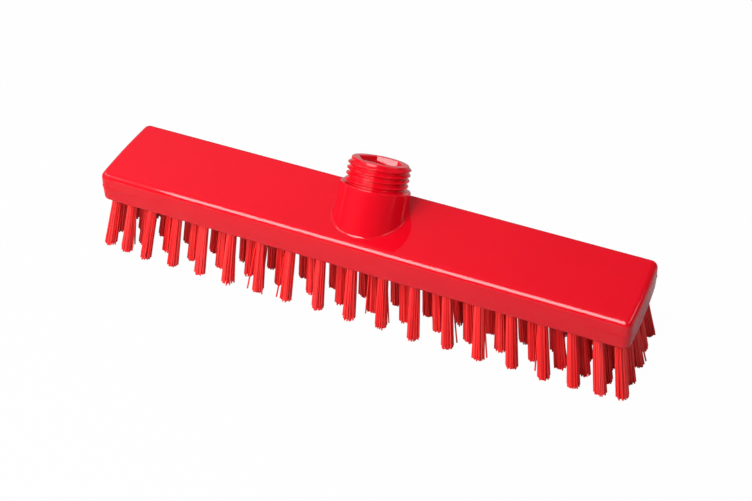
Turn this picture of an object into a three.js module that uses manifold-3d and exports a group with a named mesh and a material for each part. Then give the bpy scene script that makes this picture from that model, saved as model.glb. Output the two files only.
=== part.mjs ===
// Floor scrub brush head: one moulded block with a leaning, hollow neck for a handle, and tufts of
// stiff filament that flat steel anchors hold in its underside.
// Millimetres, +Z up. +X runs along the block and the neck leans towards +Y.
// The origin is on the floor under the middle of the block, where the trimmed tips stand.
import * as THREE from "three";
import { mergeVertices } from "three/addons/utils/BufferGeometryUtils.js";
import Module from "manifold-3d";

const wasm = await Module();
wasm.setup();

const clearance = 0.3; // gap between pieces that touch

const block = {
  length: 280, // over the bows of the ends
  width: 47.6, // at the parting line
  height: 16.5,
  partingHeight: 8.25, // above the underside
  draft: 0.2, // how far the wall comes in from the parting line to the underside
  endRadius: 370, // of the bow of each end, in plan
  cornerRadius: 3.6, // in plan
  topRadius: 3.4, // round along the top edge
  footRadius: 0.6, // small round along the bottom edge
  endSteps: 4,
  cornerSteps: 6,
  edgeSteps: 5,
};

const neck = {
  setBack: 3.45, // of its axis behind the middle line, at the block's top
  lean: THREE.MathUtils.degToRad(30.6),
  collarRadius: 17.5, // at the ledge
  collarDraft: THREE.MathUtils.degToRad(2.5), // the collar widens downwards
  collarHeight: 12.6, // along the axis, up to the ledge
  threadRadius: 15.6, // over the crests, as a plain cylinder
  rimRadius: 14.3,
  rimHeight: 25.3, // along the axis
  chamferHeight: 1.2,
  baseFillet: 2, // at the front; it runs out towards the back
  leastFillet: 0.05,
  filletSteps: 4,
  sunk: 5, // how far it reaches into the block
  sides: 40,
};

const core = {
  acrossFlats: 20.8, // hexagon, at the rim
  depth: 22,
  draft: THREE.MathUtils.degToRad(6),
};

const tuft = {
  length: 31.5, // from the underside to the trim
  pitch: 16.5, // along a row, mid-length
  endStep: 9, // pitches from the middle to the end column
  crowding: 15.2, // how far the end column moves in from an even pitch
  crowdingPower: 5, // odd; a higher one keeps the crowding nearer to the ends
  rows: [18.9, 12, 4.6], // from the middle line: outer, staggered, inner
  endCount: 5, // across an end column
  endPitch: 8.75,
  firstStagger: -7.5, // steps of the staggered row, even up to the last
  lastStagger: 5.5,
  closeCount: 3, // then these close the row up
  closeStep: 0.82, // of a pitch
  fanAlong: 1.051, // tip place over root place
  fanAcross: 1.31,
};

const strand = {
  rootOffset: 0.95,
  rootHalf: 0.8,
  tipOffset: 1.45,
  tipHalf: 1.1,
  sunk: 1.2, // into its slice of the backing
};

const tray = { wall: 2.4, depth: 3 }; // room in the underside for the bristles' slices
const sliceCuts = [-4.25, 0.25, 4.25]; // in pitches, between tufts
const anchor = { length: 5, thickness: 0.4, height: 2, lastStep: 4 };

const underside = tuft.length;
const top = underside + block.height;

const blockRed = { color: 0xe0182c, roughness: 0.22, metalness: 0 };
const filamentRed = { color: 0xd8202a, roughness: 0.45, metalness: 0 };
const steel = { color: 0xb9bcc0, roughness: 0.35, metalness: 1 };

function solid(geometry) {
  const bare = geometry.clone();
  bare.deleteAttribute("normal");
  bare.deleteAttribute("uv");
  const merged = mergeVertices(bare, 1e-4);
  return new wasm.Manifold(
    new wasm.Mesh({
      numProp: 3,
      vertProperties: merged.attributes.position.array,
      triVerts: new Uint32Array(merged.index.array),
    }),
  );
}

function meshOf(name, body, look) {
  const made = body.getMesh();
  const geometry = new THREE.BufferGeometry();
  geometry.setAttribute("position", new THREE.BufferAttribute(made.vertProperties, 3));
  geometry.setIndex(new THREE.BufferAttribute(made.triVerts, 1));
  geometry.computeVertexNormals();
  const mesh = new THREE.Mesh(geometry, new THREE.MeshStandardMaterial(look));
  mesh.name = name;
  return mesh;
}

// Closed skin over a stack of convex rings from low to high, each counterclockwise seen from above.
function loft(rings) {
  const count = rings[0].length;
  const last = (rings.length - 1) * count;
  const index = [];
  for (let start = 0; start < last; start += count) {
    for (let k = 0; k < count; k++) {
      const a = start + k;
      const b = start + ((k + 1) % count);
      index.push(a, b, b + count, a, b + count, a + count);
    }
  }
  for (let k = 1; k + 1 < count; k++) {
    index.push(0, k + 1, k);
    index.push(last, last + k, last + k + 1);
  }
  const geometry = new THREE.BufferGeometry().setFromPoints(rings.flat());
  return solid(geometry.setIndex(index));
}

function arc(x, y, radius, from, to, steps) {
  return Array.from({ length: steps + 1 }, (_, k) => {
    const turn = from + ((to - from) * k) / steps;
    return new THREE.Vector2(x + radius * Math.cos(turn), y + radius * Math.sin(turn));
  });
}

// Plan of the block at one height, this far in: straight sides, bowed ends and round corners.
function outline(inset, z) {
  const cornerY = block.width / 2 - block.cornerRadius;
  const bowCentre = block.length / 2 - block.endRadius;
  const apart = block.endRadius - block.cornerRadius; // of the centres of a bow and its corners
  const bow = Math.asin(cornerY / apart); // half the angle of a bow
  const cornerX = bowCentre + apart * Math.cos(bow);
  const radius = block.cornerRadius - inset;
  const quarter = Math.PI / 2;
  const right = [
    ...arc(cornerX, -cornerY, radius, -quarter, -bow, block.cornerSteps),
    ...arc(bowCentre, 0, block.endRadius - inset, -bow, bow, block.endSteps).slice(1, -1),
    ...arc(cornerX, cornerY, radius, bow, quarter, block.cornerSteps),
  ];
  const left = right.map((p) => p.clone().negate());
  return [...right, ...left].map((p) => new THREE.Vector3(p.x, p.y, z));
}

function blockBody() {
  const rings = [
    outline(block.draft + block.footRadius, underside),
    outline(block.draft, underside + block.footRadius),
    outline(0, underside + block.partingHeight),
  ];
  for (let k = 0; k <= block.edgeSteps; k++) {
    const turn = (k / block.edgeSteps) * (Math.PI / 2);
    const inset = block.topRadius * (1 - Math.cos(turn));
    rings.push(outline(inset, top - block.topRadius * (1 - Math.sin(turn))));
  }
  return loft(rings);
}

const neckFoot = new THREE.Vector3(0, neck.setBack, top);
const neckAxis = new THREE.Vector3(0, Math.sin(neck.lean), Math.cos(neck.lean));
const neckBack = new THREE.Vector3(0, Math.cos(neck.lean), -Math.sin(neck.lean));

// Direction square to the neck's axis: 0 to the right, a quarter turn to the back.
function outward(turn) {
  return new THREE.Vector3(Math.cos(turn), 0, 0).addScaledVector(neckBack, Math.sin(turn));
}

function ringOf(sides, pointAt) {
  return Array.from({ length: sides }, (_, k) => pointAt((2 * Math.PI * k) / sides));
}

function neckPoint(turn, radius, height) {
  return neckFoot.clone().addScaledVector(outward(turn), radius).addScaledVector(neckAxis, height);
}

function neckRing(radius, height, sides = neck.sides) {
  return ringOf(sides, (turn) => neckPoint(turn, radius, height));
}

// Point of the base fillet, the path of a ball that rolls on the block's top and round the collar:
// share 0 is on the top, share 1 on the collar.
function filletPoint(turn, share) {
  const out = outward(turn);
  const radius = Math.max(neck.leastFillet, (neck.baseFillet * (1 - Math.sin(turn))) / 2);
  const slope = Math.tan(neck.collarDraft);
  const reach = neck.collarRadius + neck.collarHeight * slope + radius / Math.cos(neck.collarDraft);
  const height = (radius - reach * out.z) / (neckAxis.z - slope * out.z);
  const ball = neckPoint(turn, reach - height * slope, height);
  const wall = out.multiplyScalar(Math.cos(neck.collarDraft));
  wall.addScaledVector(neckAxis, Math.sin(neck.collarDraft));
  const span = Math.acos(wall.z);
  const down = Math.sin((1 - share) * span) / Math.sin(span);
  const inward = Math.sin(share * span) / Math.sin(span);
  ball.z -= radius * down;
  return ball.addScaledVector(wall, -radius * inward);
}

function neckBody() {
  const base = ringOf(neck.sides, (turn) => filletPoint(turn, 0));
  const rings = [base.map((p) => p.clone().addScaledVector(neckAxis, -neck.sunk))];
  for (let k = 0; k <= neck.filletSteps; k++) {
    rings.push(ringOf(neck.sides, (turn) => filletPoint(turn, k / neck.filletSteps)));
  }
  rings.push(neckRing(neck.collarRadius, neck.collarHeight));
  rings.push(neckRing(neck.threadRadius, neck.collarHeight));
  rings.push(neckRing(neck.threadRadius, neck.rimHeight - neck.chamferHeight));
  rings.push(neckRing(neck.rimRadius, neck.rimHeight));
  return loft(rings);
}

function coreBody() {
  const above = 1; // past the rim, for a clean cut
  const hexagonAt = (rise) => {
    const halfFlats = core.acrossFlats / 2 + rise * Math.tan(core.draft);
    return neckRing(halfFlats / Math.cos(Math.PI / 6), neck.rimHeight + rise, 6);
  };
  return loft([hexagonAt(-core.depth), hexagonAt(above)]);
}

// Tray in the underside, or what fills it with a gap all round.
function trayBody(gap, low, high) {
  const inset = tray.wall + gap;
  return loft([outline(inset, low), outline(inset, high)]);
}

// Place along a row, in pitches from the middle: even at first, then closing up towards the ends.
function along(step) {
  return tuft.pitch * step - tuft.crowding * (step / tuft.endStep) ** tuft.crowdingPower;
}

function steps(first, last) {
  return Array.from({ length: last - first + 1 }, (_, k) => first + k);
}

// Root of every tuft. The back half is the front half turned round.
function tuftRoots() {
  const inner = steps(1 - tuft.endStep, tuft.endStep - 1);
  const closing = steps(1, tuft.closeCount).map((k) => tuft.lastStagger + k * tuft.closeStep);
  const staggered = [...steps(tuft.firstStagger, tuft.lastStagger), ...closing];
  const roots = [];
  tuft.rows.forEach((distance, k) => {
    for (const step of k === 1 ? staggered : inner) {
      roots.push({ row: k + 1, step, x: along(step), y: -distance });
      roots.push({ row: 2 * tuft.rows.length - k, step: -step, x: along(-step), y: distance });
    }
  });
  for (let k = 0; k < tuft.endCount; k++) {
    const y = tuft.endPitch * (k - (tuft.endCount - 1) / 2);
    roots.push({ step: -tuft.endStep, x: along(-tuft.endStep), y });
    roots.push({ step: tuft.endStep, x: along(tuft.endStep), y });
  }
  return roots;
}

function square(x, y, half, z) {
  const corner = (sx, sy) => new THREE.Vector3(x + sx * half, y + sy * half, z);
  return [corner(-1, -1), corner(1, -1), corner(1, 1), corner(-1, 1)];
}

// Four strands that part from root to tip, trimmed level with the floor.
function tuftStrands({ x, y }) {
  const sides = [-1, 1];
  const tipX = x * tuft.fanAlong;
  const tipY = y * tuft.fanAcross;
  return sides.flatMap((sx) =>
    sides.map((sy) => {
      const tip = square(tipX + sx * strand.tipOffset, tipY + sy * strand.tipOffset, strand.tipHalf, 0);
      const rootX = x + sx * strand.rootOffset;
      const rootY = y + sy * strand.rootOffset;
      return loft([tip, square(rootX, rootY, strand.rootHalf, underside + strand.sunk)]);
    }),
  );
}

function boxAt(length, width, height, x, y, z) {
  return solid(new THREE.BoxGeometry(length, width, height).translate(x, y, z));
}

const roots = tuftRoots();
const anchored = roots.filter(({ row, step }) => row && Math.abs(step) <= anchor.lastStep);
const anchorLow = underside + tray.depth; // on the slice below, one gap up

function brushBlock() {
  let body = blockBody().add(neckBody()).subtract(coreBody());
  body = body.subtract(trayBody(0, underside - 1, underside + tray.depth));
  const slotHeight = anchor.height + clearance + 1;
  for (const { x, y } of anchored) {
    const length = anchor.length + 2 * clearance;
    const width = anchor.thickness + 2 * clearance;
    body = body.subtract(boxAt(length, width, slotHeight, x, y, anchorLow - 1 + slotHeight / 2));
  }
  return meshOf("brush_block", body, blockRed);
}

function bristles(name, from, to) {
  const inside = trayBody(clearance, underside, underside + tray.depth - clearance);
  const length = to - from - clearance;
  let body = inside.intersect(boxAt(length, block.width, block.height, (from + to) / 2, 0, underside));
  for (const root of roots.filter(({ x }) => x > from && x < to)) {
    for (const one of tuftStrands(root)) {
      body = body.add(one);
    }
  }
  return meshOf(name, body, filamentRed);
}

function anchorPlate({ row, step, x, y }) {
  const middle = anchorLow + anchor.height / 2;
  const plate = boxAt(anchor.length, anchor.thickness, anchor.height, x, y, middle);
  const column = Math.floor(step) + anchor.lastStep + 1;
  return meshOf(`anchor_row${row}_${column}`, plate, steel);
}

const brush = new THREE.Group();
brush.add(brushBlock());
const edges = [-block.length / 2, ...sliceCuts.map(along), block.length / 2];
["left", "left_middle", "right_middle", "right"].forEach((place, k) => {
  brush.add(bristles(`bristles_${place}`, edges[k], edges[k + 1]));
});
for (const root of anchored) {
  brush.add(anchorPlate(root));
}

export default brush;
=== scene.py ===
# Floor scrub brush head: red moulded block, leaning threaded neck, fanned tufts of stiff filament
import math
import bmesh
import bpy
from mathutils import Matrix, Vector


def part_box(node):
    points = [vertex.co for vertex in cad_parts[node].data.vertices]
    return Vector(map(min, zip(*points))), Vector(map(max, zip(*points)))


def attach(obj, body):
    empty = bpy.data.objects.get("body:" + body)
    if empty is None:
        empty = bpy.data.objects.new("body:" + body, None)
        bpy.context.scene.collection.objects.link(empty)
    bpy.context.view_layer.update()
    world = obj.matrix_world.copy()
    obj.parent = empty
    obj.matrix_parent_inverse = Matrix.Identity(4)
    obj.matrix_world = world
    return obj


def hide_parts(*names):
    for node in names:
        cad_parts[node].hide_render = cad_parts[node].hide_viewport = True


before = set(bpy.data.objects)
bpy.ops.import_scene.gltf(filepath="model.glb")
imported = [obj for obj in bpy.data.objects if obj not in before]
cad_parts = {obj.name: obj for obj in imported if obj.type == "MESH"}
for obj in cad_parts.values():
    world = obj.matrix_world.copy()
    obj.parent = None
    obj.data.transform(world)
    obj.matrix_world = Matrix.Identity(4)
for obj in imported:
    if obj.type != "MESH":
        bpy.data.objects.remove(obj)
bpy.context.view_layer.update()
mm = 0.001  # settings are in millimetres, meshes in metres
weldReach = 1e-7  # in metres, points closer than this are one
blockLow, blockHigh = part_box("brush_block")
underside = blockLow.z / mm  # the bristles' length, since the tips stand on the floor


# Camera, matched to the block's edges in the photograph
camera = {
    "lens": 65.06,
    "sensor": 36,
    "nearest": 10,
    "farthest": 100000,
    "place": (211.92, -458.34, 479.31),
    "down": 42.017,  # degrees below the horizon
    "turn": 24.407,  # degrees to the left of +Y
    "roll": -1.027,
}


def addCamera():
    data = bpy.data.cameras.new("camera")
    data.sensor_width = camera["sensor"]
    data.lens = camera["lens"]
    data.clip_start = camera["nearest"] * mm
    data.clip_end = camera["farthest"] * mm
    eye = bpy.data.objects.new("camera", data)
    turn = Matrix.Rotation(math.radians(camera["turn"]), 4, "Z")
    tilt = Matrix.Rotation(math.radians(90 - camera["down"]), 4, "X")
    roll = Matrix.Rotation(math.radians(camera["roll"]), 4, "Z")
    eye.matrix_world = Matrix.Translation(Vector(camera["place"]) * mm) @ turn @ tilt @ roll
    bpy.context.scene.collection.objects.link(eye)
    bpy.context.scene.camera = eye


addCamera()
print("camera placed")


def addNode(tree, kind, inputs=None, **settings):
    node = tree.nodes.new(kind)
    for name, value in settings.items():
        setattr(node, name, value)
    for key, value in (inputs or {}).items():
        if isinstance(value, bpy.types.NodeSocket):
            tree.links.new(value, node.inputs[key])
        else:
            node.inputs[key].default_value = value
    return node


def reckon(tree, operation, *values):
    return addNode(tree, "ShaderNodeMath", dict(enumerate(values)), operation=operation).outputs[0]


def reckonVector(tree, operation, *values):
    return addNode(tree, "ShaderNodeVectorMath", dict(enumerate(values)), operation=operation).outputs[0]


def scaled(tree, vector, scale):
    return addNode(tree, "ShaderNodeVectorMath", {0: vector, "Scale": scale}, operation="SCALE").outputs[0]


def stored(tree, geometry, name, value, kind):
    given = {"Geometry": geometry, "Name": name, "Value": value}
    return addNode(tree, "GeometryNodeStoreNamedAttribute", given, data_type=kind).outputs[0]


def fetched(tree, name, kind):
    return addNode(tree, "GeometryNodeInputNamedAttribute", {"Name": name}, data_type=kind).outputs[0]


def linear(hexColour):
    parts = [int(hexColour[k:k + 2], 16) / 255 for k in (1, 3, 5)]
    return [p / 12.92 if p <= 0.04045 else ((p + 0.055) / 1.055) ** 2.4 for p in parts] + [1]


def newMaterial(name):
    material = bpy.data.materials.new(name)
    material.use_nodes = True
    material.node_tree.nodes.clear()
    return material, material.node_tree


def newPiece(name, mesh):
    piece = bpy.data.objects.new(name, mesh)
    bpy.context.scene.collection.objects.link(piece)
    return piece


# Turns what the modifiers give into the piece's own plain mesh
def bakeModifiers(piece):
    graph = bpy.context.evaluated_depsgraph_get()
    made = bpy.data.meshes.new_from_object(piece.evaluated_get(graph))
    old = piece.data
    piece.modifiers.clear()
    piece.data = made
    bpy.data.meshes.remove(old)


# Moulded polypropylene: polished mould, so crisp reflections over a deep even red,
# with a faint orange peel and slow drifts of gloss and colour where the melt flowed
blockFinish = {
    "red": "#df071e",
    "flowRed": "#d8061b",
    "flowSize": 45,  # of the drifts
    "flowDetail": 2,
    "flowRange": (0.3, 0.7),  # of the drifts' noise, from the least to the most gloss
    "gloss": (0.03, 0.06),  # roughness, least and most
    "peelSize": 2.2,
    "peelDetail": 1,
    "peelHeight": 0.001,
    "ior": 1.53,
    "glow": 0.5,  # share of the light that soaks in and comes out again nearby
    "glowReach": (1, 0.2, 0.12),  # red goes deeper than the rest
    "glowDepth": 3,
}


def polypropylene():
    material, tree = newMaterial("moulded polypropylene")
    place = addNode(tree, "ShaderNodeTexCoord").outputs["Object"]
    drift = {"Vector": place, "Scale": 1 / (blockFinish["flowSize"] * mm)}
    drift |= {"Detail": blockFinish["flowDetail"]}
    flow = addNode(tree, "ShaderNodeTexNoise", drift).outputs["Fac"]
    reds = {0: flow, 6: linear(blockFinish["red"]), 7: linear(blockFinish["flowRed"])}
    red = addNode(tree, "ShaderNodeMix", reds, data_type="RGBA").outputs[2]
    least, most = blockFinish["gloss"]
    low, high = blockFinish["flowRange"]
    glossRange = {"Value": flow, "From Min": low, "From Max": high, "To Min": least, "To Max": most}
    gloss = addNode(tree, "ShaderNodeMapRange", glossRange).outputs[0]
    orangePeel = {"Vector": place, "Scale": 1 / (blockFinish["peelSize"] * mm)}
    orangePeel |= {"Detail": blockFinish["peelDetail"]}
    peel = addNode(tree, "ShaderNodeTexNoise", orangePeel).outputs["Fac"]
    relief = {"Height": peel, "Distance": blockFinish["peelHeight"] * mm}
    bump = addNode(tree, "ShaderNodeBump", relief).outputs[0]
    plastic = {"Base Color": red, "Roughness": gloss, "Normal": bump, "IOR": blockFinish["ior"]}
    plastic |= {"Subsurface Weight": blockFinish["glow"], "Subsurface Radius": blockFinish["glowReach"]}
    plastic |= {"Subsurface Scale": blockFinish["glowDepth"] * mm}
    shader = addNode(tree, "ShaderNodeBsdfPrincipled", plastic)
    addNode(tree, "ShaderNodeOutputMaterial", {"Surface": shader.outputs[0]})
    return material


# Drawn polyester filament: satin along its length, each one a touch lighter or darker than the next
filamentFinish = {
    "red": "#fb2a2b",
    "lightRed": "#ff4443",
    "darkRed": "#ec1c20",
    "ior": 1.45,
    "roughness": 0.42,
}


def polyester():
    material, tree = newMaterial("drawn polyester filament")
    tone = addNode(tree, "ShaderNodeAttribute", attribute_name="tone").outputs["Fac"]
    ramp = addNode(tree, "ShaderNodeValToRGB", {"Fac": tone})
    ramp.color_ramp.elements[0].color = linear(filamentFinish["darkRed"])
    ramp.color_ramp.elements[1].color = linear(filamentFinish["lightRed"])
    ramp.color_ramp.elements.new(0.5).color = linear(filamentFinish["red"])
    satin = {"Base Color": ramp.outputs["Color"], "IOR": filamentFinish["ior"]}
    satin |= {"Roughness": filamentFinish["roughness"]}
    shader = addNode(tree, "ShaderNodeBsdfPrincipled", satin)
    addNode(tree, "ShaderNodeOutputMaterial", {"Surface": shader.outputs[0]})
    return material


# Stainless flat wire, rolled and cut: fine draw lines along it
anchorFinish = {"steel": "#b9bcc0", "lineSize": 0.25, "lineLength": 4, "roughness": (0.25, 0.45)}


def stainlessWire():
    material, tree = newMaterial("rolled stainless wire")
    place = addNode(tree, "ShaderNodeTexCoord").outputs["Object"]
    stretch = (anchorFinish["lineSize"] / anchorFinish["lineLength"], 1, 1)
    drawn = addNode(tree, "ShaderNodeMapping", {"Vector": place, "Scale": stretch}).outputs[0]
    fine = {"Vector": drawn, "Scale": 1 / (anchorFinish["lineSize"] * mm)}
    lines = addNode(tree, "ShaderNodeTexNoise", fine).outputs["Fac"]
    least, most = anchorFinish["roughness"]
    lineRange = {"Value": lines, "To Min": least, "To Max": most}
    rough = addNode(tree, "ShaderNodeMapRange", lineRange).outputs[0]
    steel = {"Base Color": linear(anchorFinish["steel"]), "Metallic": 1, "Roughness": rough}
    shader = addNode(tree, "ShaderNodeBsdfPrincipled", steel)
    addNode(tree, "ShaderNodeOutputMaterial", {"Surface": shader.outputs[0]})
    return material


# The tufts' roots, as drilled: outer, staggered and inner rows, and the back as the front turned round
tufts = {
    "pitch": 16.5,
    "crowding": 15.2,  # how far the end columns move in from an even pitch
    "crowdingPower": 5,
    "endStep": 9,  # pitches from the middle to an end column
    "outerRow": 18.9,
    "staggeredRow": 12,
    "innerRow": 4.6,
    "endCount": 5,
    "endPitch": 8.75,
    "firstStagger": -7.5,
    "lastStagger": 5.5,
    "closeStep": 0.82,  # of a pitch, where a staggered row closes up at one end
    "closeCount": 3,
    "cuts": (-4.25, 0.25, 4.25),  # in pitches, between the four bristle pieces
    "holeRadius": 2.6,
    "holeDepth": 5.4,
    "holeFlare": 0.35,
    "holeSides": 24,
}


def along(step):
    closing = tufts["crowding"] * (step / tufts["endStep"]) ** tufts["crowdingPower"]
    return tufts["pitch"] * step - closing


def tuftRoots():
    last = tufts["endStep"] - 1
    even = range(-last, last + 1)
    count = round(tufts["lastStagger"] - tufts["firstStagger"]) + 1
    staggered = [tufts["firstStagger"] + k for k in range(count)]
    for k in range(tufts["closeCount"]):
        staggered.append(tufts["lastStagger"] + tufts["closeStep"] * (k + 1))
    spots = []
    for row, steps in (("outerRow", even), ("staggeredRow", staggered), ("innerRow", even)):
        for step in steps:
            spots.append((along(step), -tufts[row]))
            spots.append((along(-step), tufts[row]))
    for k in range(tufts["endCount"]):
        y = tufts["endPitch"] * (k - (tufts["endCount"] - 1) / 2)
        spots.append((along(-tufts["endStep"]), y))
        spots.append((along(tufts["endStep"]), y))
    return spots


roots = tuftRoots()


def pointMesh(name, spots):
    mesh = bpy.data.meshes.new(name)
    mesh.from_pydata([(x * mm, y * mm, underside * mm) for x, y in spots], [], [])
    return mesh


# Block: a bar with bowed ends and round corners, widest below the parting line, with a soft top edge
block = {
    "length": (blockHigh.x - blockLow.x) / mm,  # over the bows
    "width": 47.6,
    "height": 16.5,
    "endRadius": 370,  # of the bows
    "cornerRadius": 3.6,
    "topRadius": 3.4,
    "footRadius": 1.5,
    "swell": 0.25,  # how far out the wall stands from the parting line down
    "partingHeight": 8.25,
    "seamHeight": 0.2,  # of the mould seam that shows near the corners
    "seamAbove": 0.26,
    "seamBelow": 0.14,
    "seamKept": 8,  # along the sides at its full height
    "seamReach": 18,  # along the sides, where it has faded out
    "endSteps": 12,
    "cornerSteps": 14,
    "edgeSteps": 14,
    "footSteps": 4,
    "sharpEdge": 34,  # degrees, past which an edge stays sharp
}
top = underside + block["height"]


def arc(x, y, radius, start, end, steps):
    turns = [start + (end - start) * k / steps for k in range(steps + 1)]
    return [(x + radius * math.cos(turn), y + radius * math.sin(turn)) for turn in turns]


# Plan of the block at one height, this far in; the seam lifts the corners and fades out along the sides
def blockRing(inset, z, seam=0):
    quarter = math.pi / 2
    cornerY = block["width"] / 2 - block["cornerRadius"]
    bowCentre = block["length"] / 2 - block["endRadius"]
    apart = block["endRadius"] - block["cornerRadius"]  # of the centres of a bow and its corners
    bow = math.asin(cornerY / apart)
    cornerX = bowCentre + apart * math.cos(bow)
    radius = block["cornerRadius"] - inset
    right = [(cornerX - block["seamReach"], -cornerY - radius)]
    right += [(cornerX - block["seamKept"], -cornerY - radius - seam)]
    right += arc(cornerX, -cornerY, radius + seam, -quarter, -bow, block["cornerSteps"])
    right += arc(bowCentre, 0, block["endRadius"] - inset, -bow, bow, block["endSteps"])[1:-1]
    right += arc(cornerX, cornerY, radius + seam, bow, quarter, block["cornerSteps"])
    right += [(cornerX - block["seamKept"], cornerY + radius + seam)]
    right += [(cornerX - block["seamReach"], cornerY + radius)]
    left = [(-x, -y) for x, y in right]
    return [Vector((x, y, z)) * mm for x, y in right + left]


# Closed skin over rings from low to high, each counterclockwise from above
def skin(name, rings):
    build = bmesh.new()
    rows = [[build.verts.new(p) for p in ring] for ring in rings]
    for low, high in zip(rows, rows[1:]):
        for k in range(len(low)):
            build.faces.new((low[k - 1], low[k], high[k], high[k - 1]))
    build.faces.new(rows[0][::-1])
    build.faces.new(rows[-1])
    mesh = bpy.data.meshes.new(name)
    build.to_mesh(mesh)
    build.free()
    return mesh


def blockBar():
    rings = []
    for k in range(block["footSteps"] + 1):
        turn = math.radians(90 * k / block["footSteps"])
        inset = block["footRadius"] * (1 - math.sin(turn)) - block["swell"]
        rings.append(blockRing(inset, underside + block["footRadius"] * (1 - math.cos(turn))))
    parting = underside + block["partingHeight"]
    rings.append(blockRing(-block["swell"], parting - block["seamBelow"]))
    rings.append(blockRing(-block["swell"], parting, block["seamHeight"]))
    rings.append(blockRing(-block["swell"], parting + block["seamAbove"]))
    for k in range(block["edgeSteps"] + 1):
        turn = math.radians(90 * k / block["edgeSteps"])
        inset = block["topRadius"] * (1 - math.cos(turn))
        rings.append(blockRing(inset, top - block["topRadius"] * (1 - math.sin(turn))))
    return newPiece("moulded_block", skin("moulded block", rings))


# Neck: leaning, drafted collar with a rolled base fillet, a ledge, a moulded thread and a hexagonal core
neck = {
    "setBack": 3.45,
    "lean": 30.6,  # degrees
    "collarRadius": 17.5,  # at the ledge
    "collarDraft": 2.5,  # degrees
    "collarHeight": 12.6,
    "ledgeRound": 0.45,
    "ledgeSteps": 4,
    "baseFillet": 2,  # at the front, running out towards the back
    "leastFillet": 0.05,  # at the back
    "filletSteps": 12,
    "filletSunk": 0.015,  # of its outer edge, so that it joins the top cleanly
    "sunk": 5,  # of the foot in the block
    "rimRadius": 14.3,
    "rimHeight": 25.3,
    "rimRound": 0.7,
    "rimSteps": 5,
    "rimSlope": 1.2,  # of the lead into the thread below the round
    "sides": 144,
}
thread = {
    "crest": 15.65,
    "root": 14.2,
    "pitch": 2.75,
    "firstCrest": 23.4,  # along the axis, on the +X side
    "flankAngle": 34,  # degrees, half of the V
    "crestRound": 0.35,
    "rootRound": 0.3,
    "roundSteps": 4,
}
core = {
    "acrossFlats": 20,  # at the rim
    "cornerRadius": 0.7,
    "cornerSteps": 4,
    "depth": 22,
    "draft": 6,  # degrees, from the rim to the floor
    "leadIn": 9,  # depth of the mouth's wider taper
    "leadInDraft": 10.5,
    "mouthBevel": 0.12,
    "clear": 1,  # of the cutter over the rim
}

lean = math.radians(neck["lean"])
collarDraft = math.radians(neck["collarDraft"])
neckAxis = Vector((0, math.sin(lean), math.cos(lean)))
neckBack = Vector((0, math.cos(lean), -math.sin(lean)))
neckFoot = Vector((0, neck["setBack"], top))
neckTurns = [2 * math.pi * k / neck["sides"] for k in range(neck["sides"])]


def outward(turn):
    return Vector((math.cos(turn), 0, 0)) + neckBack * math.sin(turn)


def neckPoint(turn, radius, height):
    return (neckFoot + outward(turn) * radius + neckAxis * height) * mm


# Path of a ball that rolls on the block's top, share 0, and round the collar, share 1
def filletPoint(turn, share):
    out = outward(turn)
    radius = max(neck["leastFillet"], neck["baseFillet"] * (1 - math.sin(turn)) / 2)
    slope = math.tan(collarDraft)
    reach = neck["collarRadius"] + neck["collarHeight"] * slope + radius / math.cos(collarDraft)
    height = (radius - reach * out.z) / (neckAxis.z - slope * out.z)
    ball = neckFoot + out * (reach - height * slope) + neckAxis * height
    wall = out * math.cos(collarDraft) + neckAxis * math.sin(collarDraft)
    span = math.acos(wall.z)
    ball.z -= radius * math.sin((1 - share) * span) / math.sin(span) + neck["filletSunk"] * (1 - share)
    return (ball - wall * (radius * math.sin(share * span) / math.sin(span))) * mm


# Half of a tooth's section, as distance along the axis from the crest and depth below it: a rounded V
def toothFlank():
    slope = math.radians(90 - thread["flankAngle"])
    turns = [slope * k / thread["roundSteps"] for k in range(thread["roundSteps"] + 1)]
    rounds = thread["crestRound"], thread["rootRound"]
    crest, root = [[(r * math.sin(t), r * (1 - math.cos(t))) for t in turns] for r in rounds]
    depth = thread["crest"] - thread["root"]
    straight = depth - crest[-1][1] - root[-1][1]
    foot = crest[-1][0] + straight / math.tan(slope) + root[-1][0]
    return crest + [(foot - distance, depth - rise) for distance, rise in reversed(root)]


# The thread starts on the ledge and is cut by the rim's lead
def threadRadius(turn, height):
    phase = (height - thread["firstCrest"]) / thread["pitch"] - turn / (2 * math.pi)
    away = abs(phase - round(phase)) * thread["pitch"]
    depth = thread["crest"] - thread["root"]
    flank = toothFlank()
    for (near, shallow), (far, deep) in zip(flank, flank[1:]):
        if away < far:
            depth = shallow + (deep - shallow) * (away - near) / (far - near)
            break
    lead = (neck["rimHeight"] - neck["rimRound"] - height) * neck["rimSlope"]
    return min(thread["crest"] - depth, neck["rimRadius"] + lead)


# Rows of points along the tooth's section, climbing one pitch per turn between the ledge and the rim
def threadRows(low, high):
    away = [distance for distance, depth in toothFlank()]
    section = [-distance for distance in reversed(away[1:])] + away
    first = math.floor((low - thread["firstCrest"]) / thread["pitch"]) - 1
    last = math.ceil((high - thread["firstCrest"]) / thread["pitch"]) + 1
    rows = []
    for tooth in range(first, last):
        for step in section:
            row = []
            for turn in neckTurns:
                height = thread["firstCrest"] + thread["pitch"] * (tooth + turn / (2 * math.pi)) + step
                height = min(high, max(low, height))
                row.append(neckPoint(turn, threadRadius(turn, height), height))
            rows.append(row)
    return rows, len(section)


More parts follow.
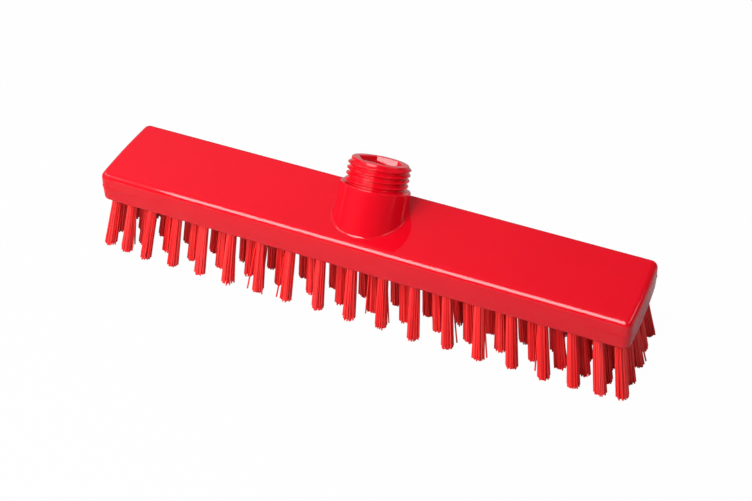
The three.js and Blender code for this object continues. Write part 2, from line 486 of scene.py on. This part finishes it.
def neckSolid():
    ledge, soft = neck["collarHeight"], neck["ledgeRound"]
    rings = [[filletPoint(turn, 0) - neckAxis * neck["sunk"] * mm for turn in neckTurns]]
    for k in range(neck["filletSteps"] + 1):
        rings.append([filletPoint(turn, k / neck["filletSteps"]) for turn in neckTurns])
    for k in range(neck["ledgeSteps"] + 1):
        angle = math.radians(90 * k / neck["ledgeSteps"])
        radius = neck["collarRadius"] - soft * (1 - math.cos(angle))
        height = ledge - soft * (1 - math.sin(angle))
        rings.append([neckPoint(turn, radius, height) for turn in neckTurns])
    lip = neck["rimRound"]
    climbing, perPitch = threadRows(ledge, neck["rimHeight"] - lip)
    rimRings = []
    for k in range(1, neck["rimSteps"] + 1):
        angle = math.radians(90 * k / neck["rimSteps"])
        radius = neck["rimRadius"] - lip * (1 - math.cos(angle))
        height = neck["rimHeight"] - lip * (1 - math.sin(angle))
        rimRings.append([neckPoint(turn, radius, height) for turn in neckTurns])
    build = bmesh.new()
    rows = [[build.verts.new(p) for p in ring] for ring in rings]
    climb = [[build.verts.new(p) for p in row] for row in climbing]
    rim = [climb[-1]] + [[build.verts.new(p) for p in ring] for ring in rimRings]
    rows.append(climb[0])
    for low, high in [*zip(rows, rows[1:]), *zip(rim, rim[1:])]:
        for k in range(len(low)):
            build.faces.new((low[k - 1], low[k], high[k], high[k - 1]))
    last = len(climb) - 1
    for k in range(last):
        for i in range(neck["sides"] - 1):
            build.faces.new((climb[k][i], climb[k][i + 1], climb[k + 1][i + 1], climb[k + 1][i]))
        # the last column joins the first one a pitch further on
        ahead, above = climb[min(last, k + perPitch)][0], climb[min(last, k + 1 + perPitch)][0]
        if ahead is not above:
            build.faces.new((climb[k][-1], ahead, above, climb[k + 1][-1]))
    build.faces.new(rows[0][::-1])
    build.faces.new(rim[-1])
    bmesh.ops.remove_doubles(build, verts=build.verts, dist=weldReach)
    mesh = bpy.data.meshes.new("neck")
    build.to_mesh(mesh)
    build.free()
    return newPiece("neck", mesh)


# Hexagon with rounded corners, one of them on the +X side
def hexRing(halfFlats, height):
    ring = []
    soft = core["cornerRadius"]
    centre = (halfFlats - soft) / math.cos(math.pi / 6)
    for corner in range(6):
        middle = corner * math.pi / 3
        for k in range(core["cornerSteps"] + 1):
            turn = middle + math.pi / 3 * (k / core["cornerSteps"] - 0.5)
            spot = neckFoot + outward(middle) * centre + outward(turn) * soft + neckAxis * height
            ring.append(spot * mm)
    return ring


def coreCutter():
    half = core["acrossFlats"] / 2
    rim, bevel, leadIn = neck["rimHeight"], core["mouthBevel"], core["leadIn"]
    floorHalf = half - core["depth"] * math.tan(math.radians(core["draft"]))
    throatHalf = half - leadIn * math.tan(math.radians(core["leadInDraft"]))
    throat = [hexRing(floorHalf, rim - core["depth"]), hexRing(throatHalf, rim - leadIn)]
    mouth = [hexRing(half, rim - bevel), hexRing(half + bevel, rim)]
    mouth.append(hexRing(half + bevel, rim + core["clear"]))
    return newPiece("core", skin("core", throat + mouth))


# Cutter for the tuft holes: a flared bore on every root
def holeCutter(material):
    tree = bpy.data.node_groups.new("tuft holes", "GeometryNodeTree")
    tree.interface.new_socket("Roots", in_out="INPUT", socket_type="NodeSocketGeometry")
    sizes = {"Radius": tufts["holeRadius"], "Depth": tufts["holeDepth"], "Flare": tufts["holeFlare"]}
    sockets = {}
    for name in sizes:
        sockets[name] = tree.interface.new_socket(name, in_out="INPUT", socket_type="NodeSocketFloat")
    tree.interface.new_socket("Holes", in_out="OUTPUT", socket_type="NodeSocketGeometry")
    given = addNode(tree, "NodeGroupInput").outputs
    sides = tufts["holeSides"]
    boreSize = {"Vertices": sides, "Radius": given["Radius"], "Depth": given["Depth"]}
    bore = addNode(tree, "GeometryNodeMeshCylinder", boreSize).outputs["Mesh"]
    half = reckon(tree, "MULTIPLY", given["Depth"], 0.5)
    lift = addNode(tree, "ShaderNodeCombineXYZ", {"Z": half}).outputs[0]
    bored = addNode(tree, "GeometryNodeTransform", {"Geometry": bore, "Translation": lift}).outputs[0]

    # the cone reaches as far below the underside as above it
    twice = reckon(tree, "MULTIPLY", given["Flare"], 2)
    wide = reckon(tree, "ADD", given["Radius"], twice)
    coneSize = {"Vertices": sides, "Radius Top": given["Radius"], "Radius Bottom": wide, "Depth": twice}
    cone = addNode(tree, "GeometryNodeMeshCone", coneSize).outputs["Mesh"]
    drop = reckon(tree, "MULTIPLY", given["Flare"], -1)
    lower = addNode(tree, "ShaderNodeCombineXYZ", {"Z": drop}).outputs[0]
    flared = addNode(tree, "GeometryNodeTransform", {"Geometry": cone, "Translation": lower}).outputs[0]
    whole = addNode(tree, "GeometryNodeMeshBoolean", operation="UNION")
    for part in (bored, flared):
        tree.links.new(part, whole.inputs[1])
    drilled = {"Points": given["Roots"], "Instance": whole.outputs[0]}
    spread = addNode(tree, "GeometryNodeInstanceOnPoints", drilled).outputs[0]
    real = addNode(tree, "GeometryNodeRealizeInstances", {0: spread}).outputs[0]
    clothing = {"Geometry": real, "Material": material}
    clothed = addNode(tree, "GeometryNodeSetMaterial", clothing).outputs[0]
    addNode(tree, "NodeGroupOutput", {"Holes": clothed})
    piece = newPiece("holes", pointMesh("holes", roots))
    modifier = piece.modifiers.new("holes", "NODES")
    modifier.node_group = tree
    for name, value in sizes.items():
        modifier[sockets[name].identifier] = value * mm
    bakeModifiers(piece)
    return piece


# Smooth but for edges past the angle, with flat faces kept flat
def smoothFaces(piece, angle):
    build = bmesh.new()
    build.from_mesh(piece.data)
    bmesh.ops.remove_doubles(build, verts=build.verts, dist=weldReach)
    for edge in build.edges:
        edge.smooth = len(edge.link_faces) == 2 and edge.calc_face_angle() < math.radians(angle)
    for face in build.faces:
        face.smooth = True
    build.to_mesh(piece.data)
    build.free()
    weigh = piece.modifiers.new("weigh", "WEIGHTED_NORMAL")
    weigh.keep_sharp = True
    weigh.weight = 100  # only the largest faces count
    bakeModifiers(piece)


def mouldedBlock():
    plastic = polypropylene()
    bar = blockBar()
    joins = ((neckSolid(), "UNION"), (coreCutter(), "DIFFERENCE"), (holeCutter(plastic), "DIFFERENCE"))
    for cutter, operation in joins:
        join = bar.modifiers.new("join", "BOOLEAN")
        join.operation = operation
        join.solver = "EXACT"
        join.object = cutter
        bakeModifiers(bar)
        bpy.data.objects.remove(cutter)
    smoothFaces(bar, block["sharpEdge"])
    bar.data.materials.clear()
    bar.data.materials.append(plastic)
    return bar


shell = mouldedBlock()
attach(shell, "root")
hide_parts("brush_block")
print("block moulded:", len(shell.data.polygons), "faces")


# Bristles: each tuft is a bundle of filaments that leave the hole tight, fan out and are trimmed level
bristle = {
    "counts": {"Filaments": 60, "Sides": 6, "Segments": 4},
    "seeds": {
        "Wander Seed": 4,
        "Scatter Seed": 11,
        "Stray Seed": 23,
        "Trim Seed": 37,
        "Tone Seed": 41,
        "Twist Seed": 59,
    },
    "sizes": {
        "Radius": 0.4,
        "Hole Radius": tufts["holeRadius"],
        "Sunk": 2.8,  # into the hole, up to the anchor
        "Tip Spread": 3,  # radius of a tuft at the trim
        "Wander": 0.7,  # of a tuft's tip from its place
        "Scatter": 0.25,  # of a filament's tip from its place in the tuft
        "Stray Reach": 2.6,
        "Bow": 0.2,
        "Tip Lift": 0.08,
        "Trim": 1.2,  # how much the shortest filaments lack
    },
    # the fans are a tip's place over its root's
    "shares": {"Fan Along": 1.051, "Fan Across": 1.31, "Stray Share": 0.008},
}
seedStep = 101  # from piece to piece, so that no two are alike
trimPower = 2  # keeps most filaments near their full length


def bristleTree(material):
    tree = bpy.data.node_groups.new("bristles", "GeometryNodeTree")
    tree.interface.new_socket("Roots", in_out="INPUT", socket_type="NodeSocketGeometry")
    sockets = {}
    for group, values in bristle.items():
        kind = "NodeSocketInt" if group in ("counts", "seeds") else "NodeSocketFloat"
        for name in values:
            sockets[name] = tree.interface.new_socket(name, in_out="INPUT", socket_type=kind)
    tree.interface.new_socket("Bristles", in_out="OUTPUT", socket_type="NodeSocketGeometry")
    given = addNode(tree, "NodeGroupInput").outputs
    index = addNode(tree, "GeometryNodeInputIndex").outputs[0]
    spot = addNode(tree, "GeometryNodeInputPosition").outputs[0]
    either = {0: (-1, -1, 0), 1: (1, 1, 0), "ID": index}

    # every tuft leans its own way, then is doubled into its filaments
    tilting = {**either, "Seed": given["Wander Seed"]}
    tilt = addNode(tree, "FunctionNodeRandomValue", tilting, data_type="FLOAT_VECTOR").outputs[0]
    leaned = scaled(tree, tilt, given["Wander"])
    rooted = stored(tree, given["Roots"], "wander", leaned, "FLOAT_VECTOR")
    doubling = {"Geometry": rooted, "Amount": given["Filaments"]}
    bundle = addNode(tree, "GeometryNodeDuplicateElements", doubling, domain="POINT").outputs

    # even packing in the hole, on a sunflower spiral
    counted = reckon(tree, "ADD", bundle["Duplicate Index"], 0.5)
    share = reckon(tree, "DIVIDE", counted, given["Filaments"])
    reach = reckon(tree, "SQRT", share)
    goldenTurn = math.pi * (3 - math.sqrt(5))
    turn = reckon(tree, "MULTIPLY", index, goldenTurn)
    arm = addNode(tree, "ShaderNodeCombineXYZ", {"X": reach}).outputs[0]
    swung = {"Vector": arm, "Angle": turn}
    disc = addNode(tree, "ShaderNodeVectorRotate", swung, rotation_type="Z_AXIS").outputs[0]

    # where a filament starts
    tight = reckon(tree, "SUBTRACT", given["Hole Radius"], given["Radius"])
    packed = scaled(tree, disc, tight)
    deep = addNode(tree, "ShaderNodeCombineXYZ", {"Z": given["Sunk"]}).outputs[0]
    sunk = reckonVector(tree, "ADD", packed, deep)
    start = reckonVector(tree, "ADD", spot, sunk)

    # where it ends: fanned out, spread, a few astray, trimmed nearly level
    fanning = {"X": given["Fan Along"], "Y": given["Fan Across"]}
    fan = addNode(tree, "ShaderNodeCombineXYZ", fanning).outputs[0]
    wander = fetched(tree, "wander", "FLOAT_VECTOR")
    middle = reckonVector(tree, "MULTIPLY_ADD", spot, fan, wander)
    straying = {"Probability": given["Stray Share"], "ID": index, "Seed": given["Stray Seed"]}
    astray = addNode(tree, "FunctionNodeRandomValue", straying, data_type="BOOLEAN").outputs[3]
    spread = reckon(tree, "MULTIPLY_ADD", astray, given["Stray Reach"], given["Tip Spread"])
    splayed = scaled(tree, disc, spread)
    jitter = {**either, "Seed": given["Scatter Seed"]}
    loose = addNode(tree, "FunctionNodeRandomValue", jitter, data_type="FLOAT_VECTOR").outputs[0]
    scatter = scaled(tree, loose, given["Scatter"])
    cutting = {"ID": index, "Seed": given["Trim Seed"]}
    lack = addNode(tree, "FunctionNodeRandomValue", cutting, data_type="FLOAT").outputs[1]
    rare = reckon(tree, "POWER", lack, trimPower)
    short = reckon(tree, "MULTIPLY_ADD", rare, given["Trim"], given["Tip Lift"])
    trim = addNode(tree, "ShaderNodeCombineXYZ", {"Z": short}).outputs[0]
    end = middle
    for part in (splayed, scatter, trim):
        end = reckonVector(tree, "ADD", end, part)
    line = reckonVector(tree, "SUBTRACT", end, start)

    # each one keeps its line and its own tone of red
    points = stored(tree, bundle["Geometry"], "line", line, "FLOAT_VECTOR")
    dyeing = {"ID": index, "Seed": given["Tone Seed"]}
    tone = addNode(tree, "FunctionNodeRandomValue", dyeing, data_type="FLOAT").outputs[1]
    points = stored(tree, points, "tone", tone, "FLOAT")
    points = addNode(tree, "GeometryNodeSetPosition", {"Geometry": points, "Position": start}).outputs[0]

    # one filament of unit length, slightly bowed, set on every start along its line
    bow = addNode(tree, "ShaderNodeCombineXYZ", {"X": given["Bow"], "Z": 0.5}).outputs[0]
    bowed = {"Resolution": given["Segments"], "Start": (0, 0, 0), "Middle": bow, "End": (0, 0, 1)}
    spine = addNode(tree, "GeometryNodeCurveQuadraticBezier", bowed).outputs[0]
    ring = {"Resolution": given["Sides"], "Radius": given["Radius"]}
    section = addNode(tree, "GeometryNodeCurvePrimitiveCircle", ring).outputs[0]
    drawing = {"Curve": spine, "Profile Curve": section, "Fill Caps": True}
    drawn = addNode(tree, "GeometryNodeCurveToMesh", drawing).outputs[0]
    filament = addNode(tree, "GeometryNodeSetShadeSmooth", {"Geometry": drawn}).outputs[0]
    way = fetched(tree, "line", "FLOAT_VECTOR")
    twisting = {2: 0, 3: 2 * math.pi, "ID": index, "Seed": given["Twist Seed"]}
    twist = addNode(tree, "FunctionNodeRandomValue", twisting, data_type="FLOAT").outputs[1]
    about = addNode(tree, "ShaderNodeCombineXYZ", {"Z": twist}).outputs[0]
    turned = addNode(tree, "FunctionNodeEulerToRotation", {0: about}).outputs[0]
    aimed = {"Rotation": turned, "Vector": way}
    aim = addNode(tree, "FunctionNodeAlignRotationToVector", aimed, axis="Z").outputs[0]
    length = addNode(tree, "ShaderNodeVectorMath", {0: way}, operation="LENGTH").outputs["Value"]
    scale = addNode(tree, "ShaderNodeCombineXYZ", {"X": 1, "Y": 1, "Z": length}).outputs[0]
    setting = {"Points": points, "Instance": filament, "Rotation": aim, "Scale": scale}
    placed = addNode(tree, "GeometryNodeInstanceOnPoints", setting).outputs[0]
    real = addNode(tree, "GeometryNodeRealizeInstances", {0: placed}).outputs[0]
    for name in ("line", "wander"):
        real = addNode(tree, "GeometryNodeRemoveAttribute", {"Geometry": real, "Name": name}).outputs[0]
    clothing = {"Geometry": real, "Material": material}
    clothed = addNode(tree, "GeometryNodeSetMaterial", clothing).outputs[0]
    addNode(tree, "NodeGroupOutput", {"Bristles": clothed})
    return tree, sockets


def bristlePieces():
    tree, sockets = bristleTree(polyester())
    edges = [-block["length"] / 2, *(along(step) for step in tufts["cuts"]), block["length"] / 2]
    for k, place in enumerate(("left", "left_middle", "right_middle", "right")):
        spots = [(x, y) for x, y in roots if edges[k] < x < edges[k + 1]]
        piece = newPiece("tufts_" + place, pointMesh("tufts", spots))
        modifier = piece.modifiers.new("bristles", "NODES")
        modifier.node_group = tree
        for group, values in bristle.items():
            for name, value in values.items():
                modifier[sockets[name].identifier] = value * mm if group == "sizes" else value
        for name, seed in bristle["seeds"].items():
            modifier[sockets[name].identifier] = seed + seedStep * k
        bakeModifiers(piece)
        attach(piece, "root")
        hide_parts("bristles_" + place)
        print("tufts", place, len(spots), "with", len(piece.data.polygons), "faces")


bristlePieces()

wire = stainlessWire()
for name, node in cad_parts.items():
    if name.startswith("anchor_"):
        node.data.materials.clear()
        node.data.materials.append(wire)
print("anchors clothed")


# Pale floor, white to the eye, that still takes a trace of the brush's shadow
floor = {
    "half": 6000,
    "drop": 0.1,  # below the tips
    "pale": "#a2a2a2",
    "white": 0.985,  # share of plain white that the camera sees
    "mirrored": 0.03,  # the same share in reflections
}


def paleFloor():
    build = bmesh.new()
    lowered = Matrix.Translation((0, 0, -floor["drop"] * mm))
    bmesh.ops.create_grid(build, x_segments=2, y_segments=2, size=floor["half"] * mm, matrix=lowered)
    mesh = bpy.data.meshes.new("floor")
    build.to_mesh(mesh)
    build.free()
    material, tree = newMaterial("pale studio floor")
    plain = addNode(tree, "ShaderNodeBsdfDiffuse", {"Color": linear(floor["pale"])}).outputs[0]
    white = addNode(tree, "ShaderNodeEmission", {"Color": (1, 1, 1, 1), "Strength": 1}).outputs[0]
    ray = addNode(tree, "ShaderNodeLightPath").outputs
    bounced = reckon(tree, "MAXIMUM", ray["Is Glossy Ray"], ray["Is Transmission Ray"])
    mirrored = reckon(tree, "MULTIPLY", bounced, floor["mirrored"])
    share = reckon(tree, "MULTIPLY_ADD", ray["Is Camera Ray"], floor["white"], mirrored)
    lit = addNode(tree, "ShaderNodeMixShader", {0: share, 1: plain, 2: white}).outputs[0]
    below = addNode(tree, "ShaderNodeNewGeometry").outputs["Backfacing"]
    clear = addNode(tree, "ShaderNodeBsdfTransparent").outputs[0]
    oneSided = addNode(tree, "ShaderNodeMixShader", {0: below, 1: lit, 2: clear}).outputs[0]
    addNode(tree, "ShaderNodeOutputMaterial", {"Surface": oneSided})
    mesh.materials.append(material)
    newPiece("floor", mesh)


# Light: a large key softbox in front, left of the camera, with a dim spill beside it, strips on the left
# and the right, a small one behind, two fills, and a dim room, brighter to the upper left and overhead
softboxes = {
    "key": {"place": (-204, -474, 582), "from": (0, -431, 552), "size": (524, 542), "power": 7.4},
    "spill": {"place": (-636, -474, 582), "from": (0, -431, 552), "size": (330, 542), "power": 0.28},
    "left": {"place": (-530, -110, 500), "from": (-530, -110, 450), "size": (375, 172), "power": 0.8},
    "right": {"place": (1271, 67, 1323), "from": (1271, 67, 1273), "size": (828, 442), "power": 2.8},
    "rear": {"place": (767, 685, 668), "from": (755, 698, 618), "size": (205, 380), "power": 0.5},
    "fillBack": {"place": (600, 1280, 470), "from": (600, 1280, 430), "size": (860, 660), "power": 11},
    "fillFront": {"place": (-250, -1300, 160), "from": (-25, -130, 12), "size": (860, 300), "power": 1.5},
}
daylight = {
    "room": 0.08,  # all round
    "leftWall": 0.58,  # added on the left
    "wallTop": 0.6,  # sine of the elevation up to which the wall brightens
    "ceiling": 0.1,  # added overhead
    "ceilingEdge": 0.75,  # sine of the elevation where it starts
    "tint": "#e9f0ff",
}


# A rectangle, width first, that shines from its direction with its width level
def softbox(name):
    given = softboxes[name]
    data = bpy.data.lights.new(name, "AREA")
    data.shape = "RECTANGLE"
    data.size, data.size_y = (side * mm for side in given["size"])
    data.energy = given["power"]
    lamp = bpy.data.objects.new(name, data)
    lamp.location = Vector(given["place"]) * mm
    lamp.rotation_euler = Vector(given["from"]).to_track_quat("Z", "Y").to_euler()
    lamp.visible_camera = False
    # the fills lift the shade and leave the reflections alone
    lamp.visible_glossy = not name.startswith("fill")
    bpy.context.scene.collection.objects.link(lamp)


def room():
    world = bpy.data.worlds.new("room")
    world.use_nodes = True
    tree = world.node_tree
    tree.nodes.clear()
    way = addNode(tree, "ShaderNodeTexCoord").outputs["Generated"]
    parts = addNode(tree, "ShaderNodeSeparateXYZ", {0: way}).outputs
    leftwards = {"Value": parts["X"], "From Min": -1, "From Max": 0}
    leftwards |= {"To Min": daylight["leftWall"], "To Max": 0}
    left = addNode(tree, "ShaderNodeMapRange", leftwards).outputs[0]
    upwards = {"Value": parts["Z"], "From Min": 0, "From Max": daylight["wallTop"]}
    up = addNode(tree, "ShaderNodeMapRange", upwards).outputs[0]
    overhead = {"Value": parts["Z"], "From Min": daylight["ceilingEdge"], "From Max": 1}
    overhead |= {"To Min": daylight["room"], "To Max": daylight["room"] + daylight["ceiling"]}
    ceiling = addNode(tree, "ShaderNodeMapRange", overhead).outputs[0]
    level = reckon(tree, "MULTIPLY_ADD", left, up, ceiling)
    seen = addNode(tree, "ShaderNodeLightPath").outputs["Is Camera Ray"]
    strength = addNode(tree, "ShaderNodeMix", {0: seen, 2: level, 3: 1}).outputs[0]
    tints = {0: seen, 6: linear(daylight["tint"]), 7: (1, 1, 1, 1)}
    tint = addNode(tree, "ShaderNodeMix", tints, data_type="RGBA").outputs[2]
    glow = addNode(tree, "ShaderNodeBackground", {"Color": tint, "Strength": strength}).outputs[0]
    addNode(tree, "ShaderNodeOutputWorld", {"Surface": glow})
    bpy.context.scene.world = world


paleFloor()
for name in softboxes:
    softbox(name)
room()
bpy.context.scene.view_settings.view_transform = "Standard"
print("floor and light set")
